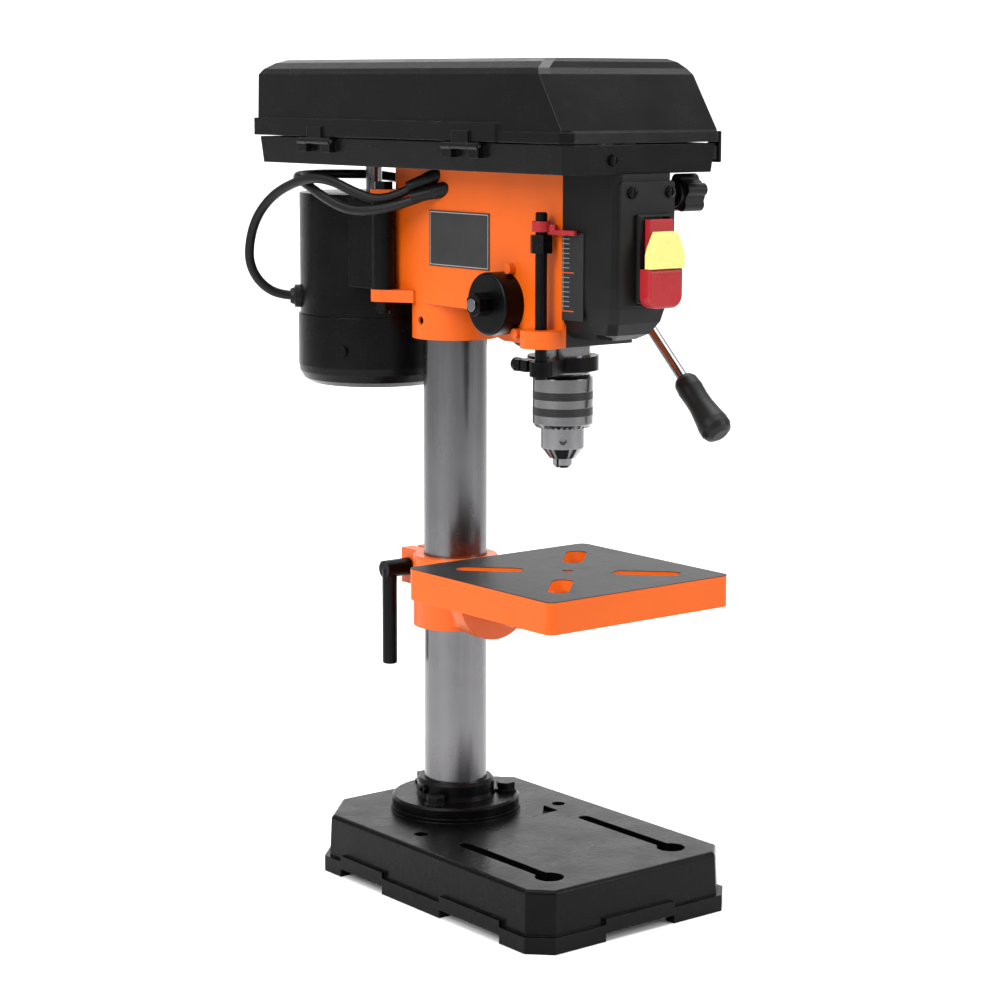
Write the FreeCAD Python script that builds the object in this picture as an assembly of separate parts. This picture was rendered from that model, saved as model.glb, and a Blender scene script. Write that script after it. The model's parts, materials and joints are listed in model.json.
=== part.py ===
"""Bench drill press, 8 in swing, five belt speeds.

Frame: +X to the operator's right, +Y to the back, +Z up, millimetres.
The origin is on the column's axis, on the plane that the base stands on.
"""
import FreeCAD, Part
import math
import os

V = FreeCAD.Vector
X, Y, Z = V(1, 0, 0), V(0, 1, 0), V(0, 0, 1)
GAP = 0.3            # free space between bodies that move past each other
FIT = 0.05           # radial clearance of a running fit

# ---- column and base
COLUMN_R = 23.0
COLUMN_WALL = 3.0
COLUMN_FOOT_Z = 20.0
COLUMN_TOP_Z = 500.0
BASE_HALF = 86.4     # half width of the base's top
BASE_FRONT = -204.0
BASE_BACK = 68.1
BASE_TOP_Z = 42.4
BASE_DRAFT = 1.4     # how far the side walls spread down to the foot rim
BASE_WALL = 6.0
RIM_OUT = 2.4        # the foot rim stands this far outside the wall
RIM_H = 11.5
FOOT_H = 6.0         # height of the gaps between the corner feet
FRONT_CHAMFER = 14.7
BACK_CHAMFER = 31.5
BENCH_HOLE_X = 63.5
BENCH_HOLE_Y = -43.0
BENCH_HOLE_R = 5.0
SLOT_X = 55.2        # the two keyhole slots
SLOT_Y = (-83.0, -176.5)
SLOT_R = 4.5
KEYHOLE_R = 10.0
FLANGE_R = 47.0
FLANGE_Z = (45.4, 53.0)
FLANGE_NECK_R = 28.4
FLANGE_TOP_Z = 66.0
FLANGE_BOLT_R = 37.5
FLANGE_BOLTS = 3

# ---- table
TABLE_HALF = 80.2
TABLE_FRONT = -206.3
TABLE_BACK = -49.7
TABLE_TOP_Z = 239.0
TABLE_SKIRT = 22.0
TABLE_PLATE = 8.0
TABLE_MID_Y = -128.0
SLOT_END_NEAR = 31.0  # table slots: ends, measured along each diagonal
SLOT_END_FAR = 78.0
TABLE_SLOT_R = 7.25
BRACKET_Z = (181.0, 233.0)
BRACKET_R = 31.0
TILT_Z = 210.0
TILT_FLANGE_R = 33.0
TILT_BOLT_R = 6.0
CLAMP_Y = 40.0
CLAMP_Z = 219.0
LEVER_X = -30.5
LEVER_R = 5.5
LEVER_END_Z = 148.0

# ---- head
HEAD_HALF = 31.0
HEAD_BACK = 31.0
HEAD_FRONT = -157.5
HEAD_TOP_Z = 514.0
HEAD_COLLAR_Z = 391.6
HEAD_SIDE_Z = 418.0
HEAD_NOSE_Z = 398.0
SHELL_FRONT = -205.0
SHELL_FRONT_HALF = 25.5
SHELL_WALL = 2.5
QUILL_Y = -121.5
QUILL_R = 19.0
QUILL_Z = (377.0, 493.0)
PINION_TEETH = 13
PINION_MODULE = 1.25
PINION_R = PINION_TEETH * PINION_MODULE / 2
RACK_LINE = 17.45    # rack pitch line, from the quill's axis
FEED_Y = QUILL_Y + RACK_LINE + PINION_R
FEED_Z = 424.0
FEED_SHAFT_R = 6.0
HUB_X = (70.0, 96.0)
SPOKE_X = 82.0
SPOKE_R = 4.0
SPOKE_LENGTH = 84.0
SPOKE_ANGLE = 223.2   # of the lowest front spoke, from +Y towards +Z
GRIP_START = 80.0     # distances along a spoke, from the feed shaft's axis
GRIP_END = 132.0
GRIP_BORE = 28.0
CAP_R = 21.5
CAP_T = 16.0
ROD_X, ROD_Y = -40.0, -146.4
ROD_R = 4.0
ROD_TOP_Z = 488.0
CLAMP_RING_Z = (378.8, 388.8)

SWITCH_X, SWITCH_Z = 4.5, 459.0
PIN_Y = SHELL_FRONT - 4
TENSION_Y, TENSION_Z = -180.0, 499.0
TENSION_X = (46.0, 66.0)
KNOB_R = 10.5
KNOB_LOBE_R = 4.5
PANEL_SCREWS_X = (-14.0, 19.0)

# ---- belt drive and cover
MOTOR_Y = 99.5
MOTOR_R = 57.0
MOTOR_Z = (351.0, 492.0)
MOTOR_SEAM_Z = 402.5
HINGE_X, HINGE_Y = -40.0, 32.0
EAR_Z = ((417.2, 425.9), (490.8, 497.2))
TRAY_HALF = 65.0
TRAY_FRONT = -203.0
TRAY_BACK = 154.5
TRAY_TOP_Z = 533.0
COVER_WALL = 1.6
LID_HALF = 67.5
LID_BACK = 157.0
LID_WALL_TOP_Z = 580.0
LID_TOP_Z = 588.5
BAND_Z = (534.0, 546.5)
BELT_STEPS = [(19.5, 45.5), (25.3, 39.7), (30.65, 34.35), (35.75, 29.25), (42.0, 23.0)]
STEP_H = 9.5
STEP_Z = 523.0
BELT_STEP = 2
MOTOR_SHAFT_R = 6.0
SPINDLE_R = 7.5

LID_HINGES_Y = (73.7, -98.4)
LID_HINGE_X = -70.3
LID_HINGE_Z = 531.0
TRAY_SCREWS = [(-20, -70), (20, -70), (-20, 20), (20, 20)]

# ---- cords
CORD_R = 3.5
GLAND_ANGLE = 148.4
GLAND_Z = 415.0
COIL_X, COIL_Y = 95.0, 108.0
COIL_MEAN_R = 36.0
COIL_HALF = 7.0
COIL_HEIGHT = 13.3
LEAD_ROUTE = [
    (-44.5, 126.9, 415), (-59.4, 136, 415), (-72.3, 144, 423.8), (-79.4, 148.3, 438.9), (-79.2, 147.6, 456.4),
    (-77, 141.5, 474), (-73, 128, 489), (-70, 107, 499), (-67.5, 83, 504.5), (-65, 60, 503), (-61, 39, 495.5),
    (-55, 20, 490), (-46.5, 3, 494.5), (-38, -9, 503), (-28, -19, 508.5),
]
POWER_ROUTE = [
    (-24, -33, 501), (-34, -21, 497), (-46, -5, 489.5), (-56, 12, 484), (-64, 31, 482), (-67, 48, 485),
    (-67.5, 67, 491), (-63.5, 88, 496.5), (-57.5, 110, 501), (-49, 130, 503.5), (-32, 144, 504), (-11, 150.5, 504),
    (12, 149.5, 503.5), (34, 142, 503), (53, 130, 499), (66, 115, 486), (72, 103, 463), (74, 96, 430),
    (74.2, 92, 380), (73.5, 89, 320), (71.8, 86.5, 255), (69.5, 84.5, 190), (67, 83, 135), (64.8, 82, 92),
    (62.8, 81.6, 73), (61, 82, 58), (59.8, 84.5, 43.6), (58.8, 91.8, 31), (58.2, 103, 21.6), (58.2, 116.7, 16.6),
    (62.5, 129.5, 14.8),
]
PLUG_NECK = (135.5, 88.0, 7.0)   # where the cord enters the plug's neck
PLUG_HALF = 11.0
PLUG_LENGTH = 24.0
NECK_LENGTH = 14.0
BLADE_LENGTH = 16.0

# ---- helpers

def box(x0, x1, y0, y1, z0, z1):
    return Part.makeBox(x1 - x0, y1 - y0, z1 - z0, V(x0, y0, z0))


def rod(x, y, z, axis, r, h):
    """Cylinder from the point (x, y, z) along an axis."""
    return Part.makeCylinder(r, h, V(x, y, z), axis)


def tube(x, y, z, axis, r_out, r_in, h):
    return rod(x, y, z, axis, r_out, h).cut(rod(x, y, z, axis, r_in, h))


def hexagon(x, y, z, axis, across, h):
    """Hexagonal bar; across is its width across the flats."""
    r = across / math.sqrt(3)
    ring = [V(r * math.cos(math.radians(60 * i)), r * math.sin(math.radians(60 * i)), 0) for i in range(7)]
    solid = Part.Face(Part.makePolygon(ring)).extrude(V(0, 0, h))
    solid.Placement = FreeCAD.Placement(V(x, y, z), FreeCAD.Rotation(Z, axis))
    return solid


def prism_z(points, z0, z1):
    face = Part.Face(Part.makePolygon([V(a, b, z0) for a, b in points + points[:1]]))
    return face.extrude(V(0, 0, z1 - z0))


def prism_x(points, x0, x1):
    """Extrude a (y, z) outline along X."""
    face = Part.Face(Part.makePolygon([V(x0, a, b) for a, b in points + points[:1]]))
    return face.extrude(V(x1 - x0, 0, 0))


def prism_y(points, y0, y1):
    """Extrude an (x, z) outline along Y."""
    face = Part.Face(Part.makePolygon([V(a, y0, b) for a, b in points + points[:1]]))
    return face.extrude(V(0, y1 - y0, 0))


def turned(profile, x, y, z, axis):
    """Solid of revolution of an (r, h) profile about an axis through (x, y, z)."""
    wire = Part.makePolygon([V(r, 0, h) for r, h in profile + profile[:1]])
    solid = Part.Face(wire).revolve(V(0, 0, 0), Z, 360)
    solid.Placement = FreeCAD.Placement(V(x, y, z), FreeCAD.Rotation(Z, axis))
    return solid


def loft(rings):
    """Solid through closed outlines, each a list of points."""
    wires = [Part.makePolygon([V(*p) for p in ring + ring[:1]]) for ring in rings]
    return Part.makeLoft(wires, True, True)


def fuse(first, *others):
    return first.fuse(list(others)).removeSplitter()


def rounded(shape, r, pick):
    """Fillet the edges that pick says yes to."""
    edges = [e for e in shape.Edges if pick(e)]
    return shape.makeFillet(r, edges)


def upright(e):
    a, b = e.Vertexes[0].Point, e.Vertexes[-1].Point
    return len(e.Vertexes) == 2 and abs(a.x - b.x) < 1 and abs(a.y - b.y) < 1 and abs(a.z - b.z) > 1


def level_at(z):
    return lambda e: all(abs(v.Point.z - z) < 0.01 for v in e.Vertexes)


def chamfered(half, y0, y1, front, back):
    """Plan outline: a rectangle with its four corners cut off."""
    return [(-half + front, y0), (half - front, y0), (half, y0 + front), (half, y1 - back),
            (half - back, y1), (-half + back, y1), (-half, y1 - back), (-half, y0 + front)]


def at_height(outline, z):
    return [(a, b, z) for a, b in outline]


def base_outline(grow):
    return chamfered(BASE_HALF + grow, BASE_FRONT - grow, BASE_BACK + grow, FRONT_CHAMFER, BACK_CHAMFER)


def save(name, shape):
    if not shape.isValid():
        print("invalid:", name)
    shape.exportStep("parts/" + name + ".step")
    print(name, len(shape.Solids), round(shape.Volume))


# ---- base and column

def foot_gaps():
    """The low arches between the corner feet, on all four sides."""
    far = 260
    return [box(-31, 31, -far, far, -1, FOOT_H), box(-far, far, -166, -99, -1, FOOT_H),
            box(-far, far, -31, 20, -1, FOOT_H)]


def base_casting():
    outer = loft([at_height(base_outline(BASE_DRAFT), 0), at_height(base_outline(0), BASE_TOP_Z)])
    outer = rounded(outer, 3.0, level_at(BASE_TOP_Z))
    rim_outline = base_outline(BASE_DRAFT + RIM_OUT)
    low_rim = prism_z(rim_outline, 0, RIM_H)
    arch_rim = prism_z(rim_outline, RIM_H, RIM_H + 4.5)
    arch_rim = arch_rim.common(foot_gaps()[0].fuse(foot_gaps()[1:]).translated(V(0, 0, RIM_H)))
    body = fuse(outer, low_rim, arch_rim, rod(0, 0, BASE_TOP_Z, Z, 48, FLANGE_Z[0] - BASE_TOP_Z))
    inside = loft([at_height(base_outline(BASE_DRAFT - BASE_WALL), -1),
                   at_height(base_outline(-BASE_WALL), BASE_TOP_Z - 7)])
    ribs = [box(-2.5, 2.5, BASE_FRONT, BASE_BACK, FOOT_H + 8, BASE_TOP_Z - 6),
            box(-BASE_HALF, BASE_HALF, -122.5, -117.5, FOOT_H + 8, BASE_TOP_Z - 6),
            rod(0, 0, 12, Z, 44, BASE_TOP_Z - 18)]
    inside = inside.cut(ribs)
    body = body.cut([inside] + foot_gaps())
    body = body.cut(rod(0, 0, 0, Z, COLUMN_R + 1, 60))
    for side in (-1, 1):
        body = body.cut(keyhole_slot(side * SLOT_X))
        body = body.cut(rod(side * BENCH_HOLE_X, BENCH_HOLE_Y, 0, Z, BENCH_HOLE_R, 60))
    pocket = prism_z([(52, -39.5), (52, -56.5), (36.5, -57.5)], BASE_TOP_Z - 3, BASE_TOP_Z + 1)
    body = body.cut(pocket)
    return body.cut([flange_screw_hole(i, 2.6, 20, 50) for i in range(FLANGE_BOLTS)])


def keyhole_slot(x):
    y0, y1 = SLOT_Y
    slot = box(x - SLOT_R, x + SLOT_R, y1, y0, 0, 60)
    return slot.fuse([rod(x, y0, 0, Z, SLOT_R, 60), rod(x, y1, 0, Z, KEYHOLE_R, 60)])


def flange_bolt_spot(i):
    a = math.radians(-150 + 360.0 * i / FLANGE_BOLTS)
    return FLANGE_BOLT_R * math.cos(a), FLANGE_BOLT_R * math.sin(a)


def flange_screw_hole(i, r, z0, z1):
    x, y = flange_bolt_spot(i)
    return rod(x, y, z0, Z, r, z1 - z0)


def column_flange():
    z0, z1 = FLANGE_Z
    profile = [(COLUMN_R, z0), (FLANGE_R, z0), (FLANGE_R, z1 - 1.5), (FLANGE_R - 1.5, z1),
               (FLANGE_NECK_R + 0.8, z1), (FLANGE_NECK_R, z1 + 3), (FLANGE_NECK_R, FLANGE_TOP_Z - 2),
               (FLANGE_NECK_R - 2, FLANGE_TOP_Z), (COLUMN_R, FLANGE_TOP_Z)]
    flange = turned(profile, 0, 0, 0, Z)
    flange = flange.cut([flange_screw_hole(i, 4.2, z0 - 1, z1 + 1) for i in range(FLANGE_BOLTS)])
    return flange.cut(rod(-40, 0, 60, X, 3, 20))


def flange_bolts():
    bolts = []
    for i in range(FLANGE_BOLTS):
        x, y = flange_bolt_spot(i)
        bolts.append(fuse(hexagon(x, y, FLANGE_Z[1] + 1.5, Z, 12.5, 5.3), rod(x, y, 22, Z, 2.6, 36),
                          rod(x, y, FLANGE_Z[1], Z, 8.0, 1.5), rod(x, y, FLANGE_Z[0], Z, 4.2, 9)))
    return Part.makeCompound(bolts)


def column():
    return tube(0, 0, COLUMN_FOOT_Z, Z, COLUMN_R, COLUMN_R - COLUMN_WALL, COLUMN_TOP_Z - COLUMN_FOOT_Z)


# ---- table

def table_bracket():
    z0, z1 = BRACKET_Z
    collar = rod(0, 0, z0, Z, BRACKET_R, z1 - z0)
    collar = rounded(collar, 1.5, level_at(z1))
    arm = box(-20, 20, -40, 0, z0 + 4, z1 - 8)
    flange = rod(0, -49, TILT_Z, Y, TILT_FLANGE_R, 13).common(box(-60, 60, -60, 0, 150, z1 - 8))
    ears = box(-13, 13, 22, 49, CLAMP_Z - 13, CLAMP_Z + 13)
    body = fuse(collar, arm, flange, ears)
    body = body.cut(box(-2, 2, 15, 60, z0 - 1, z1 + 1))
    body = body.cut(rod(0, 0, z0 - 1, Z, COLUMN_R + FIT, z1 - z0 + 2))
    body = body.cut(rod(-40, CLAMP_Y, CLAMP_Z, X, 5 + FIT, 80))
    return body.cut(rod(0, -60, TILT_Z, Y, TILT_BOLT_R, 35))


def table_top():
    half, y0, y1, z1 = TABLE_HALF, TABLE_FRONT, TABLE_BACK, TABLE_TOP_Z
    plate = box(-half, half, y0, y1, z1 - TABLE_SKIRT, z1)
    plate = rounded(plate, 6.0, upright)
    plate = plate.cut(box(-half + 6, half - 6, y0 + 6, y1 - 9, z1 - TABLE_SKIRT - 1, z1 - TABLE_PLATE))
    boss = box(-24, 24, y1 - 30, y1, TILT_Z - 6, z1 - TABLE_PLATE)
    boss = boss.fuse(rod(0, y1, TILT_Z, V(0, -1, 0), 20, 30))
    ribs = [box(-3, 3, y0 + 3, y1 - 28, z1 - 16, z1 - TABLE_PLATE + 1),
            box(-half + 3, half - 3, TABLE_MID_Y - 3, TABLE_MID_Y + 3, z1 - 16, z1 - TABLE_PLATE + 1)]
    body = fuse(plate, boss, *ribs)
    body = body.cut([table_slot(45 + 90 * i) for i in range(4)])
    body = body.cut(rod(0, TABLE_MID_Y, z1 - 30, Z, 4, 40))
    return body.cut(rod(0, y1 + 5, TILT_Z, V(0, -1, 0), TILT_BOLT_R + FIT, 60))


def table_slot(angle):
    near, far = SLOT_END_NEAR + TABLE_SLOT_R, SLOT_END_FAR - TABLE_SLOT_R
    z0 = TABLE_TOP_Z - 40
    slot = box(near, far, -TABLE_SLOT_R, TABLE_SLOT_R, z0, z0 + 50)
    slot = slot.fuse([rod(near, 0, z0, Z, TABLE_SLOT_R, 50), rod(far, 0, z0, Z, TABLE_SLOT_R, 50)])
    slot.rotate(V(0, 0, 0), Z, angle)
    return slot.translated(V(0, TABLE_MID_Y, 0))


def tilt_bolt():
    """Fixed in the bracket; its head and washer hold the table's boss."""
    front = TABLE_BACK - 30 - GAP
    return fuse(rod(0, -26, TILT_Z, V(0, -1, 0), TILT_BOLT_R, -26 - front),
                rod(0, front, TILT_Z, V(0, -1, 0), 12, 2.5),
                hexagon(0, front - 2.5, TILT_Z, V(0, -1, 0), 19, 7.5))


def clamp_lever():
    """Clamp screw through the collar's ears, its left end bent down as a handle."""
    screw = rod(LEVER_X, CLAMP_Y, CLAMP_Z, X, 5, 22 - LEVER_X)
    hub = rod(LEVER_X - 5, CLAMP_Y, CLAMP_Z, X, 6.5, -13 - GAP - LEVER_X + 5)
    bar = rod(LEVER_X, CLAMP_Y, LEVER_END_Z, Z, LEVER_R, CLAMP_Z - LEVER_END_Z)
    bar = rounded(bar, 1.2, level_at(LEVER_END_Z))
    return fuse(screw, hub, bar)


# ---- head

def head_side():
    """Side outline (y, z) of the casting in front of and over the column."""
    return [(HEAD_BACK, HEAD_TOP_Z), (HEAD_BACK, HEAD_SIDE_Z), (-52, HEAD_SIDE_Z - 1), (-88, HEAD_NOSE_Z + 2),
            (-96, HEAD_NOSE_Z), (HEAD_FRONT, HEAD_NOSE_Z), (HEAD_FRONT, HEAD_TOP_Z)]


def ear(z0, z1):
    lug = rod(HINGE_X, HINGE_Y, z0, Z, 9.5, z1 - z0)
    return lug.fuse(prism_z([(-30, 6), (-33, 6), (-47, 26), (-47, 38), (-34, 41), (-30, 31)], z0, z1))


def head_casting():
    body = prism_x(head_side(), -HEAD_HALF, HEAD_HALF)
    body = rounded(body, 2.0, lambda e: upright(e) and e.Vertexes[0].Point.y > 0)
    collar = rod(0, 0, HEAD_COLLAR_Z, Z, HEAD_HALF, 60)
    lug = rod(ROD_X, ROD_Y, HEAD_NOSE_Z, Z, 14, 12).fuse(box(-38, -28, -157.5, -130, HEAD_NOSE_Z, HEAD_NOSE_Z + 12))
    feed_boss = rod(HEAD_HALF - 3, FEED_Y, FEED_Z, X, 16, HUB_X[0] - GAP - HEAD_HALF + 3)
    body = fuse(body, collar, lug, feed_boss, ear(*EAR_Z[0]), ear(*EAR_Z[1]), cap_stop(70), cap_stop(-50))
    room = box(-26, 26, -152, -28, HEAD_NOSE_Z + 6, HEAD_TOP_Z - 7)
    kept = [rod(0, 0, 350, Z, HEAD_HALF, 200), rod(0, QUILL_Y, 350, Z, QUILL_R + 6, 200),
            rod(-40, FEED_Y, FEED_Z, X, 14, 80)]
    cuts = [room.cut(kept),
            rod(0, 0, HEAD_COLLAR_Z - 1, Z, COLUMN_R, COLUMN_TOP_Z - HEAD_COLLAR_Z + 1),
            rod(0, QUILL_Y, HEAD_NOSE_Z - 2, Z, QUILL_R + FIT, 200),
            rod(ROD_X, ROD_Y, HEAD_NOSE_Z - 2, Z, ROD_R + GAP, 20),
            rod(-40, FEED_Y, FEED_Z, X, FEED_SHAFT_R + FIT, 120),
            rod(-12, FEED_Y, FEED_Z, X, PINION_R + 2.2, 24),
            rod(-40, 0, 405, X, 3, 20)]
    cuts += [rod(x, y, 499, Z, 2.6, 20) for x, y in TRAY_SCREWS]
    cuts += [rod(HINGE_X, HINGE_Y, z0 - 1, Z, 4, 12) for z0, z1 in EAR_Z]
    return body.cut(cuts)


def cap_stop(angle):
    """Small stop beside the return spring's cap that its notches sit on."""
    a = math.radians(angle)
    y, z = FEED_Y - 25.5 * math.cos(a), FEED_Z + 25.5 * math.sin(a)
    return rod(-HEAD_HALF - 5, y, z, X, 3.6, 7)


def set_screws():
    """Two socket screws, in the flange's neck and in the head's collar."""
    screws = []
    for outer, z in ((31.5, 60), (29, 405)):
        screws.append(rod(-outer, 0, z, X, 3, outer - COLUMN_R).cut(hexagon(-outer - 1, 0, z, X, 3, 3.5)))
    return Part.makeCompound(screws)


def shell_rings(shrink, top):
    """Outlines of the front shell from under the nose up to the tray."""
    spec = [(404, -186, 14), (408, -194, 19), (416, -200, 23), (426, -203, 24.6), (440, -205, 25.5), (top, -205, 25.5)]
    rings = []
    for z, front, half in spec:
        back_half = min(HEAD_HALF, half + 6.5) - shrink
        f, h = front + shrink, half - shrink
        rings.append([(-back_half, HEAD_FRONT, z), (-h, f + 5, z), (-h + 5, f, z), (h - 5, f, z),
                      (h, f + 5, z), (back_half, HEAD_FRONT, z)])
    return rings


def front_shell():
    outer = loft(shell_rings(0, HEAD_TOP_Z))
    inner_rings = shell_rings(SHELL_WALL, HEAD_TOP_Z + 1)[1:]
    inner = loft(inner_rings)
    shell = outer.cut(inner)
    sx, sz = SWITCH_X, SWITCH_Z
    shell = shell.cut(box(sx - 12, sx + 12, -210, -190, sz - 24, sz + 24))
    shell = shell.cut(rod(20, TENSION_Y, TENSION_Z, X, 4 + FIT, 20))
    shell = shell.cut([rod(x, SHELL_FRONT - 3, 502, Y, 2.6, 8) for x in PANEL_SCREWS_X])
    return shell.cut([rod(side * 16, -183, 395, Z, 5.5, 13) for side in (-1, 1)])


def switch_panel():
    panel = box(-23.5, 23.5, SHELL_FRONT - 2, SHELL_FRONT, 428, 509)
    panel = rounded(panel, 2.0, lambda e: len(e.Vertexes) == 2 and abs(e.Vertexes[0].Point.y - e.Vertexes[1].Point.y) > 1)
    panel = panel.cut(box(SWITCH_X - 12, SWITCH_X + 12, -215, -200, SWITCH_Z - 24, SWITCH_Z + 24))
    return panel.cut([rod(x, SHELL_FRONT - 3, 502, Y, 2.6, 6) for x in PANEL_SCREWS_X])


def pan_screw(x, y, z, axis, length):
    """Cross-headed screw; (x, y, z) is where its head seats."""
    head = turned([(0.01, 0), (4.0, 0), (3.6, 1.8), (2.4, 2.6), (0.01, 2.8)], x, y, z, axis)
    cross = [box(-2.4, 2.4, -0.45, 0.45, 1.6, 4), box(-0.45, 0.45, -2.4, 2.4, 1.6, 4)]
    for slot in cross:
        slot.Placement = FreeCAD.Placement(V(x, y, z), FreeCAD.Rotation(Z, axis))
    shank = rod(x, y, z, V(-axis.x, -axis.y, -axis.z), 2.6, length)
    return fuse(head.cut(cross), shank)


def pan_screws():
    """Screws of the panel, of the tray on the head, and on the tray's front."""
    screws = [pan_screw(x, SHELL_FRONT - 2, 502, V(0, -1, 0), 4.5) for x in PANEL_SCREWS_X]
    screws += [pan_screw(x, y, HEAD_TOP_Z + COVER_WALL, Z, 14) for x, y in TRAY_SCREWS]
    screws.append(pan_screw(-27.6, TRAY_FRONT - 1.5, 523, V(0, -1, 0), 6))
    return Part.makeCompound(screws)


def switch_housing():
    """Frame of the paddle switch, with its body behind the panel."""
    x, z, front = SWITCH_X, SWITCH_Z, SHELL_FRONT - 2
    frame = box(x - 15.5, x + 15.5, front - 4, front, z - 29, z + 29)
    frame = rounded(frame, 1.5, lambda e: True)
    body = box(x - 12, x + 12, front, front + 24, z - 24, z + 24)
    well = box(x - 10, x + 10, front - 5, front + 8, z - 22, z + 22)
    lip = box(x - 11.2, x + 11.2, front - 5, front, z - 22, z + 27.2)
    return fuse(frame, body).cut([well, lip, rod(x - 13, PIN_Y, z + 10, X, 1.5, 26)])


def switch_paddle():
    """Red rocker with a key slot in its upper half, rocking on a pin across its back."""
    x, z, front = SWITCH_X, SWITCH_Z, SHELL_FRONT - 6.3
    low = z - 32
    face = box(x - 14.7, x + 14.7, front - 10, front, low, z - 6.3)
    face = rounded(face, 8.5, lambda e: level_at(low)(e) and abs(e.Vertexes[0].Point.y - e.Vertexes[-1].Point.y) > 1)
    face = rounded(face, 2.0, lambda e: all(abs(v.Point.y - front + 10) < 0.01 for v in e.Vertexes))
    top = box(x - 10.5, x + 10.5, front - 4.5, front, z - 8, z + 25.8)
    stem = box(x - 8.5, x + 8.5, front - 1, front + 9, z - 18, z + 18)
    body = fuse(face, top, stem)
    key_slot = box(x - 5.3, x + 5.3, front - 20, front + 1, z - 3, z + 8.3)
    return body.cut([key_slot, rod(x - 13, PIN_Y, z + 10, X, 1.5 + FIT, 26)])


def paddle_pin():
    return rod(SWITCH_X - 12.8, PIN_Y, SWITCH_Z + 10, X, 1.5, 25.6)


def safety_key():
    """Yellow key that pulls straight out of the paddle."""
    x, z, front = SWITCH_X, SWITCH_Z, SHELL_FRONT - 6.3
    cap = prism_y([(x - 14.7, z - 6), (x + 14.7, z - 6), (x + 14.7, z + 3), (x + 13.2, z + 8), (x + 8.2, z + 18),
                   (x - 8.2, z + 18), (x - 13.2, z + 8), (x - 14.7, z + 3)], front - 12, front - 4.8)
    cap = rounded(cap, 1.5, lambda e: all(abs(v.Point.y - front + 12) < 0.01 for v in e.Vertexes))
    blade = [box(x + s * 3 - 2, x + s * 3 + 2, front - 8, front + 0.5, z - 2.5, z + 8) for s in (-1, 1)]
    return fuse(cap, *blade)


def data_plate():
    return box(-HEAD_HALF - 0.8, -HEAD_HALF, -79.6, -11.6, 445, 484)


def depth_scale():
    """Graduated plate flat on the left wall of the front shell, which leans inwards."""
    plate = box(-0.8, 0, -19.5, -0.5, 417, 475)
    run = HEAD_FRONT - (SHELL_FRONT + 5)
    plate.rotate(V(0, 0, 0), Z, math.degrees(math.atan2(HEAD_HALF - SHELL_FRONT_HALF, run)))
    return plate.translated(V(-HEAD_HALF, HEAD_FRONT, 0))


def feed_shaft():
    shaft = rod(-HEAD_HALF - 14, FEED_Y, FEED_Z, X, FEED_SHAFT_R, HUB_X[1] - 4 + HEAD_HALF + 14)
    threaded_end = rod(-HEAD_HALF - CAP_T - 13, FEED_Y, FEED_Z, X, 4.4, 18)
    return fuse(shaft, threaded_end, pinion())


def pinion():
    """Thirteen straight teeth, trimmed a little for backlash."""
    root = PINION_R - 1.25 * PINION_MODULE
    tip = PINION_R + PINION_MODULE - 0.1
    gear = rod(-10, FEED_Y, FEED_Z, X, root, 20)
    half_root = 1.15
    half_tip = 0.42
    for i in range(PINION_TEETH):
        tooth = prism_x([(-half_root, root - 0.6), (half_root, root - 0.6), (0.72, PINION_R), (half_tip, tip),
                         (-half_tip, tip), (-0.72, PINION_R)], -10, 10)
        tooth.rotate(V(0, 0, 0), X, 90 + 360.0 * i / PINION_TEETH)
        gear = gear.fuse(tooth.translated(V(0, FEED_Y, FEED_Z)))
    return gear


def spring_cap():
    """Cup that holds the return spring on the left end of the feed shaft."""
    cup = rod(-HEAD_HALF - CAP_T, FEED_Y, FEED_Z, X, CAP_R, CAP_T)
    cup = rounded(cup, 2.0, lambda e: all(abs(v.Point.x + HEAD_HALF + CAP_T) < 0.01 for v in e.Vertexes))
    cup = cup.cut(rod(-HEAD_HALF - CAP_T + 2.5, FEED_Y, FEED_Z, X, CAP_R - 2.5, CAP_T))
    return cup.cut(rod(-60, FEED_Y, FEED_Z, X, FEED_SHAFT_R + FIT, 40))


def return_spring():
    """Flat spiral spring, wound from the shaft out to the cap's wall."""
    return tube(-HEAD_HALF - 12.5, FEED_Y, FEED_Z, X, CAP_R - 3.2, FEED_SHAFT_R + 0.6, 11.5)


def cap_nuts():
    x = -HEAD_HALF - CAP_T
    nuts = [hexagon(x - 5.5, FEED_Y, FEED_Z, X, 14, 5.2), hexagon(x - 11, FEED_Y, FEED_Z, X, 14, 5.2)]
    bore = rod(x - 20, FEED_Y, FEED_Z, X, 4.4, 40)
    return Part.makeCompound([nut.cut(bore) for nut in nuts])


def feed_hub():
    x0, x1 = HUB_X
    profile = [(FEED_SHAFT_R, 0), (15, 0), (18, 3), (18, x1 - x0 - 6), (14, x1 - x0), (0.01, x1 - x0), (0.01, x1 - x0 - 4),
               (FEED_SHAFT_R, x1 - x0 - 4)]
    hub = turned(profile, x0, FEED_Y, FEED_Z, X)
    return hub.cut([spoke_bar(i, 10, 30, SPOKE_R) for i in range(3)])


def spoke_bar(i, r0, r1, radius):
    a = math.radians(SPOKE_ANGLE + 120 * i)
    along = V(0, math.cos(a), math.sin(a))
    return Part.makeCylinder(radius, r1 - r0, V(SPOKE_X, FEED_Y, FEED_Z) + along * r0, along)


def feed_spokes():
    return Part.makeCompound([spoke_bar(i, 10, SPOKE_LENGTH + 20, SPOKE_R) for i in range(3)])


def feed_grips():
    return Part.makeCompound([feed_grip(i) for i in range(3)])


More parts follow.
